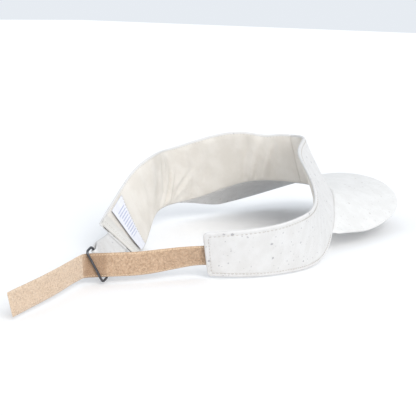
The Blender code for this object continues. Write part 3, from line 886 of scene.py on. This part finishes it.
def strap_axes():
    """The strap's directions at its root and in its straight part, the ring's spot and the root."""
    end, _, _ = wing_frame(-RIGHT_END, STRAP_ROOT_V, STRAP_ROOT_W)
    _, root_towards, up = wing_frame(-RIGHT_END + STRAP_OVERLAP, STRAP_ROOT_V, STRAP_ROOT_W)
    ring = np.array([RING_SPOT[0], RING_SPOT[1], STRAP_BOTTOM + STRAP_WIDTH / 2])
    d = ring - end
    d[2] = 0
    d = unit(d)
    return -root_towards, up, d, np.array([-d[1], d[0], 0.0]), ring, end


def loop_path():
    """Line of the loop tape: out of the wing, straight to the ring and curling through it."""
    back, up, d, out, ring, end = strap_axes()
    path, ups = [], []
    for i in range(8):
        p, _, u = wing_frame(-RIGHT_END + STRAP_OVERLAP * (1 - i / 8), STRAP_ROOT_V, STRAP_ROOT_W)
        path.append(p)
        ups.append(u)
    leave = end + back * STRAP_LEAVE
    meet = ring - d * STRAP_STRAIGHT
    reach = np.linalg.norm(meet - leave)
    for i in range(33):
        t = i / 32
        path.append(hermite(leave, back * reach, meet, d * reach, t))
        ups.append(unit(up * (1 - ease(t)) + UP * ease(t)))
    for step in np.linspace(24.0, 0.0, 13):
        path.append(ring - d * step)
        ups.append(UP)
    turn_from = ring + d * STRAP_CURL_START
    for i in range(9):
        a = math.radians(STRAP_CURL) * i / 8
        path.append(turn_from + STRAP_CURL_R * (math.sin(a) * d + (1 - math.cos(a)) * out))
        ups.append(UP)
    a = math.radians(STRAP_CURL)
    leaving = math.cos(a) * d + math.sin(a) * out
    return path, ups, path[-1] + leaving * FOLD_GAP, leaving


def tape_grid(path, ups, wave):
    """Points across a tape; wave gives a slow ripple of its surface."""
    path = np.asarray(path, float)
    ups = np.asarray(ups, float)
    across = np.linspace(-0.5, 0.5, TAPE_COLUMNS) * STRAP_WIDTH
    grid = path[:, None, :] + across[None, :, None] * ups[:, None, :]
    gone = distances_along(path)
    n = normals_of(grid)
    ripple = wave * np.sin(gone[:, None] / 7.0 + across[None, :] / 9.0)
    ripple = ripple + 0.6 * wave * np.sin(gone[:, None] / 3.3 - across[None, :] / 5.0 + 1.0)
    grid = grid + n * ripple[:, :, None]
    cloth = [[(g + TAPE_CLOTH[0], a + TAPE_CLOTH[1]) for a in across] for g in gone]
    return grid, cloth


def tape_thickness(full, selvedge):
    """Thickness across a tape, thinner along its two edges."""
    across = np.abs(np.linspace(-0.5, 0.5, TAPE_COLUMNS))
    return np.where(across > 0.44, selvedge, full)[None, :]


def on_grid(grid, a, b):
    """Points at rows a and columns b of a grid, with the normal and two directions on it."""
    i, j = a.astype(int), b.astype(int)
    f, g = (a - i)[:, None], (b - j)[:, None]
    n = normals_of(grid)

    def blend_of(field):
        low = field[i, j] * (1 - g) + field[i, j + 1] * g
        high = field[i + 1, j] * (1 - g) + field[i + 1, j + 1] * g
        return low * (1 - f) + high * f

    p, normal = blend_of(grid), blend_of(n)
    normal /= np.linalg.norm(normal, axis=1, keepdims=True)
    along = blend_of(np.gradient(grid, axis=0))
    along /= np.linalg.norm(along, axis=1, keepdims=True)
    return p, normal, along, np.cross(normal, along)


def resampled(grid, step):
    """The same sheet with rows at an even distance, so that random places spread evenly."""
    middle = grid[:, grid.shape[1] // 2]
    gone = distances_along(middle)
    wanted = np.linspace(0, gone[-1], int(gone[-1] / step) + 1)
    out = np.empty((len(wanted),) + grid.shape[1:])
    for j in range(grid.shape[1]):
        for k in range(3):
            out[:, j, k] = np.interp(wanted, gone, grid[:, j, k])
    return out


def make_pile_loops(name, grid, out_sign):
    """Small standing arcs of yarn in every direction."""
    count, even, margin = PILE_LOOPS, resampled(grid, 2.0), 0.07
    rng = np.random.default_rng(PILE_SEED)
    rows, columns = even.shape[:2]
    a = rng.random(count) * (rows - 1.001)
    b = (margin + (1 - 2 * margin) * rng.random(count)) * (columns - 1.001)
    p, n, along, across = on_grid(even, a, b)
    turn = rng.random(count)[:, None] * math.pi
    flat = np.cos(turn) * along + np.sin(turn) * across
    span = (0.5 + 0.6 * rng.random(count))[:, None]
    tall = PILE_HEIGHT * (0.6 + 0.8 * rng.random(count))[:, None]
    lean = (rng.random((count, 1)) - 0.5) * 1.2
    paths = []
    for t in np.linspace(0, 1, 5):
        lift = math.sin(math.pi * t)
        stand = p + out_sign * n * (0.35 + tall * lift)
        paths.append(stand + flat * span * (t - 0.5) + across * lean * lift * tall)
    return fibres(name, np.stack(paths, axis=1), 0.075, LOOP_FIBRE)


def make_hooks(name, grid, out_sign):
    """Rows of small hooks, a little uneven."""
    even = resampled(grid, 1.45)
    rng = np.random.default_rng(HOOK_SEED)
    a, b = [], []
    for i in range(even.shape[0] - 2):
        for j in range(HOOKS_ACROSS):
            a.append(i + 0.5 + 0.3 * rng.random())
            b.append((0.08 + 0.84 * (j + 0.5 * (i % 2)) / (HOOKS_ACROSS - 0.5)) * (even.shape[1] - 1.01))
    p, n, along, across = on_grid(even, np.array(a), np.array(b))
    tall = HOOK_HEIGHT * (0.8 + 0.4 * rng.random(len(a)))[:, None]
    way = np.where(rng.random(len(a)) > 0.5, 1.0, -1.0)[:, None]
    paths = []
    for t in np.linspace(0, 0.85, 5):
        lift = math.sin(math.pi * min(t, 0.5)) if t < 0.5 else 0.75 + 0.25 * math.sin(math.pi * t)
        paths.append(p + out_sign * n * (0.35 + tall * lift) + along * way * 0.75 * t ** 1.5 + across * 0.1)
    return fibres(name, np.stack(paths, axis=1), 0.10, HOOK_FIBRE)


def ring_axes():
    """The middles of the ring's near and far bars, the bars' direction and the way across."""
    _, _, d, out, ring, _ = strap_axes()
    skew, tilt = math.radians(RING_SKEW), math.radians(RING_TILT)
    bar = math.sin(skew) * d + math.cos(skew) * UP
    square = math.cos(skew) * d - math.sin(skew) * UP
    reach = math.sin(tilt) * square + math.cos(tilt) * out
    near = ring + out * RING_NEAR_OUT - bar * RING_DROP
    return near, near - reach * RING_SHORT, bar, reach


def make_ring():
    """Bent wire: straight bars with a hand-bent unevenness, round corners."""
    near, far, bar, reach = ring_axes()
    middle = (near + far) / 2
    normal = np.cross(bar, reach)
    corners = ((1, 1), (1, -1), (-1, -1), (-1, 1))
    half_long, half_short = RING_LONG / 2 - RING_CORNER, RING_SHORT / 2 - RING_CORNER

    def on_corner(on_bar, on_reach, degrees):
        centre = middle + on_bar * half_long * bar + on_reach * half_short * reach
        a = math.radians(degrees)
        return centre + RING_CORNER * (math.cos(a) * reach + math.sin(a) * bar)

    path = []
    for k, (on_bar, on_reach) in enumerate(corners):
        for i in range(9):
            path.append(on_corner(on_bar, on_reach, 90 * (k + i / 8)))
        start = path[-1]
        stop = on_corner(*corners[(k + 1) % 4], 90 * (k + 1))
        steps = 14 if k % 2 else 4
        for i in range(1, steps):
            t = i / steps
            bow = 0.10 * math.sin(math.pi * t) if k % 2 else 0.0
            path.append(start + (stop - start) * t + normal * bow)
    return closed_rod("wire_ring_bent", path, WIRE_R, 14, METAL)


def make_tab():
    """A strip of cork from inside the wing's end, round the ring's far bar and back."""
    _, far, bar, _ = ring_axes()
    inside, _, inside_up = wing_frame(WING_END - TAB_TUCK, 0.5, 0.0)
    edge, along, up = wing_frame(WING_END, 0.5, 0.0)
    ahead = far - edge
    ahead = unit(ahead - bar * np.dot(ahead, bar))
    face = unit(np.cross(ahead, bar))
    path, ups = [inside, (inside + edge) / 2, edge], [inside_up, unit(inside_up + up), up]
    arrive = far + face * TAB_WRAP_R
    reach_len = np.linalg.norm(arrive - edge)
    plies = []
    for i in range(1, 16):
        t = i / 16
        plies.append((hermite(edge, along * reach_len, arrive, ahead * reach_len, t),
                      unit(up * (1 - ease(t)) + bar * ease(t))))
    for p, u in plies:
        path.append(p)
        ups.append(u)
    for i in range(17):
        a = math.pi * i / 16
        path.append(far + TAB_WRAP_R * (math.cos(a) * face + math.sin(a) * ahead))
        ups.append(bar)
    for k, (p, u) in enumerate(reversed(plies)):
        t = k / (len(plies) - 1)
        gap = 2 * TAB_WRAP_R * (1 - ease(3 * t)) + TAB_PLY_GAP * ease(3 * t)
        path.append(p - face * gap)
        ups.append(u)
    path, ups = np.asarray(path), np.asarray(ups)
    across = np.linspace(-0.5, 0.5, 11) * TAB_WIDTH
    grid = path[:, None, :] + across[None, :, None] * ups[:, None, :]
    gone = distances_along(path)
    cloth = [[(a + TAB_CLOTH, g) for a in across] for g in gone]
    return thin("ring_tab_cork", grid, 0.75, cloth, CORK, 0.6)


# ---------------------------------------------------------------- label and hem
def label_place(t, v):
    """Where on the band the label's point lies: t from its stitched edge, v up the band."""
    return LABEL_BOTTOM_S + (LABEL_TOP_S - LABEL_BOTTOM_S) * v + t * LABEL_WIDTH


def make_label():
    """A satin strip, sewn along one edge and lifting off the lining towards the other."""
    def place(t, f):
        v = LABEL_V[0] + (LABEL_V[1] - LABEL_V[0]) * f
        lift = LABEL_LIFT * t ** 1.7 * (1.05 - 0.55 * f) + 0.25 * (1 + math.sin(5 * f + 3 * t)) * t
        s = label_place(t, v) - 0.9 * t * math.sin(math.pi * f)
        return band_point(s, v * height_at(s), LABEL_OFFSET - lift), (t * LABEL_WIDTH, f * LABEL_HEIGHT)

    grid, cloth = sheet_of(24, 32, place)
    return thin("care_label_satin", grid, 0.22, cloth, LABEL)


def make_hem():
    """The wing end's folded strip on the inner side."""
    def place(t, f):
        s = WING_END - 0.5 - HEM_STRIP * t
        h = 1.0 + (height_at(s) - 2.0) * f
        puff = 0.45 * math.sin(math.pi * t) ** 0.6 - 0.30 * bell(t, 0.24, 0.07)
        puff += 0.10 * math.sin(9 * f + 4 * t) * t
        return band_point(s, h, (IN - 0.75 - puff) * ease(0.35 + 12 * t)), (s + BAND_CLOTH, h)

    grid, cloth = sheet_of(18, 24, place)
    return thin("wing_end_hem", grid, 0.55, cloth, HEM_CLOTH)


def on_left_half(obj, slot, *nodes):
    """Stays fixed where it is, riding on no body, in place of the CAD nodes named."""
    if nodes:
        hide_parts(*nodes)
    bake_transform(obj)


def on_body(obj, body, slot, *nodes):
    """Rides on one body, in place of the CAD nodes named."""
    if nodes:
        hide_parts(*nodes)
    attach(obj, body)


def edge_rows(side, wing_end, inner_end):
    """Stitches round one half: its top edge, its end, its lower edge, and the top edge inside."""
    last = side * (wing_end - STITCH_INSET)
    end_top = height_at(last) - STITCH_INSET - 1
    rows = along_band(side * STITCH_START, last, STITCH_INSET, True, OUT)
    rows += up_band(last, STITCH_INSET + 1, end_top, OUT)
    rows += along_band(last, side * (BRIM_SEAM + STITCH_PAST_SEAM), STITCH_INSET, False, OUT)
    rows += along_band(side * STITCH_START, side * inner_end, INNER_STITCH_INSET, True, IN - 0.05)
    return rows


def label_rows():
    rows = []
    for k in range(LABEL_STITCHES):
        v = 0.08 + 0.84 * k / (LABEL_STITCHES - 1)
        s = label_place(0, v) + 1.2
        spot = band_point(s, v * height_at(s), LABEL_OFFSET - 0.15)
        out = unit(band_point(s, v * height_at(s), 0) - spot)
        rows.append((spot, ruling(s)[1], -out))
    return rows


def selvedge_stitches(surface, out):
    """Long stitches in a row along both edges of the loop tape."""
    even = resampled(surface, 1.9)
    lift = out * 0.14
    paths = []
    for column in (1, TAPE_COLUMNS - 2):
        line = even[:, column] + out * 0.32
        for a, b in zip(line, line[1:]):
            paths.append([a * 0.85 + b * 0.15 - lift, a * 0.7 + b * 0.3 + lift, (a + b) / 2 + lift * 1.3,
                          a * 0.3 + b * 0.7 + lift, a * 0.15 + b * 0.85 - lift])
    return fibres("loop_tape_edge_stitches", paths, 0.22, LOOP_EDGE, 5)


def tip_path(fold, leaving, ahead):
    """Line of the hook tape: under the loop tape's end, then out to its free tip."""
    path, ups = [], []
    for i in range(5):
        path.append(fold - leaving * (TIP_OVERLAP - 0.8 * i))
        ups.append(UP)
    for i in range(TIP_STEPS):
        t = i / (TIP_STEPS - 1)
        run_out = TIP_RUN_OUT + t * (TIP_LENGTH - TIP_RUN_OUT)
        bow = TIP_BOW * math.sin(math.pi * t) ** 2
        path.append(fold + ahead * run_out - UP * TIP_DROP * t - np.cross(ahead, UP) * bow)
        ups.append(UP + TIP_SHEAR * ease(t) * ahead)
    return path, ups


def place_loop_tape(line, ups, leaving, out):
    line = line + [line[-1] + leaving]
    ups = ups + [ups[-1]]
    surface, cloth = tape_grid(line, ups, 0.10)
    backing = thin("loop_tape_backing", surface, tape_thickness(1.0, 0.6), cloth, LOOP_TAPE)
    on_body(backing, "strap", "loop_tape", "strap_loop_tape")
    facing = normals_of(surface)[len(line) // 2, TAPE_COLUMNS // 2]
    sign = 1.0 if np.dot(facing, out) > 0 else -1.0
    pile = make_pile_loops("loop_pile_yarn", surface[8:-1], sign)
    on_body(pile, "strap", "loop_tape")
    on_body(selvedge_stitches(surface[8:], out), "strap", "loop_tape")


def place_hook_tape(fold, leaving, straight, out):
    turn = math.radians(TIP_TURN)
    ahead = math.cos(turn) * straight + math.sin(turn) * out
    path, ups = tip_path(fold, leaving, ahead)
    surface, cloth = tape_grid(path, ups, 0.08)
    centre = Vector((fold + PLACE) * MM)
    bend = (centre - Vector(leaving) * BEND_REACH * MM, centre + Vector(ahead) * BEND_REACH * MM)
    facing = normals_of(surface)[TIP_STEPS // 2, TAPE_COLUMNS // 2]
    sign = 1.0 if np.dot(facing, np.cross(ahead, UP)) < 0 else -1.0
    backing = thin("hook_tape_backing", surface, tape_thickness(1.05, 0.7), cloth, HOOK_TAPE)
    hooks = make_hooks("hook_rows", surface[6:], sign)
    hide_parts("strap_hook_tape", "strap_join_stitch")
    for obj in (backing, hooks):
        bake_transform(obj)


on_body(make_shell("cork_shell_right", 0, -RIGHT_END), "crown", "cork", "band_cork", "band_interfacing")
on_left_half(make_shell("cork_shell_left", 0, WING_END), "cork", "left_wing_cork", "left_wing_interfacing")
lining_right = make_lining("lining_right", 0.0, -(RIGHT_END - LINING_RIGHT_INSET))
on_body(lining_right, "crown", "lining", "band_lining")
on_left_half(make_lining("lining_left", 0.0, WING_END - LINING_LEFT_INSET), "lining", "left_wing_lining")
right_rows = edge_rows(-1, RIGHT_END, RIGHT_END - STITCH_INSET)
on_body(dashes("stitches_right", right_rows), "crown", "thread", "band_topstitch")
left_rows = edge_rows(1, WING_END, WING_END - HEM_STRIP)
on_left_half(dashes("stitches_left", left_rows), "thread", "left_wing_topstitch")

on_body(make_brim_top(), "crown", "cork", "brim_top_cork", "brim_board")
on_body(make_brim_under(), "crown", "cork", "brim_under_cork")

on_body(make_hem(), "left_wing", "lining")
hem_at = WING_END - HEM_STITCH_INSET
hem_rows = up_band(hem_at, 2.4, height_at(hem_at) - 2.4, IN - 1.1, 2.0)
on_body(dashes("hem_stitches", hem_rows, SHORT_STITCH), "left_wing", "thread")
on_body(dashes("label_stitches", label_rows(), SHORT_STITCH), "left_wing", "thread", "label_stitch")
on_body(make_label(), "label", "label", "care_label")

loop_line, loop_ups, fold_spot, leaving_way = loop_path()
_, _, strap_way, strap_out, _, _ = strap_axes()
place_loop_tape(loop_line, loop_ups, leaving_way, strap_out)
place_hook_tape(fold_spot, leaving_way, strap_way, strap_out)

on_body(make_ring(), "ring", "ring_metal", "wire_ring")
on_body(make_tab(), "left_wing", "cork", "ring_tab")

# ---------------------------------------------------------------- floor, light, camera
def place_floor():
    bpy.ops.mesh.primitive_plane_add(size=FLOOR_SIZE, location=(0, 0, -FLOOR_DROP))
    floor = bpy.context.object
    floor.name = "floor"
    floor.data.materials.append(make_floor_look())


def place_light():
    world = bpy.data.worlds.new("studio")
    bpy.context.scene.world = world
    world.use_nodes = True
    sky = world.node_tree.nodes["Background"]
    sky.inputs["Color"].default_value = SKY_COLOR
    sky.inputs["Strength"].default_value = SKY_LEVEL
    key = bpy.data.lights.new("key_above", "SUN")
    key.energy = KEY_LEVEL
    key.angle = math.radians(KEY_SPREAD)
    key.color = KEY_COLOR
    lamp = bpy.data.objects.new("key_above", key)
    lamp.rotation_mode = "QUATERNION"
    lamp.rotation_quaternion = Vector(KEY_FROM).to_track_quat("Z", "Y")
    bpy.context.scene.collection.objects.link(lamp)
    bpy.context.scene.view_settings.view_transform = "Standard"


def place_camera():
    azimuth, rise, roll = (math.radians(a) for a in (CAMERA_AZIMUTH, CAMERA_RISE, CAMERA_ROLL))
    level = math.cos(rise)
    back = Vector((math.sin(azimuth) * level, -math.cos(azimuth) * level, math.sin(rise)))
    right = Vector((math.cos(azimuth), math.sin(azimuth), 0))
    above = back.cross(right)
    image_x = right * math.cos(roll) - above * math.sin(roll)
    image_y = right * math.sin(roll) + above * math.cos(roll)
    lens = bpy.data.cameras.new("camera")
    lens.sensor_width = SENSOR_WIDTH
    lens.lens = LENS_LENGTH
    camera = bpy.data.objects.new("camera", lens)
    bpy.context.scene.collection.objects.link(camera)
    turned = Matrix((image_x, image_y, back)).transposed().to_4x4()
    camera.matrix_world = Matrix.Translation(TARGET + back * CAMERA_DISTANCE) @ turned
    bpy.context.scene.camera = camera


place_floor()
place_light()
place_camera()
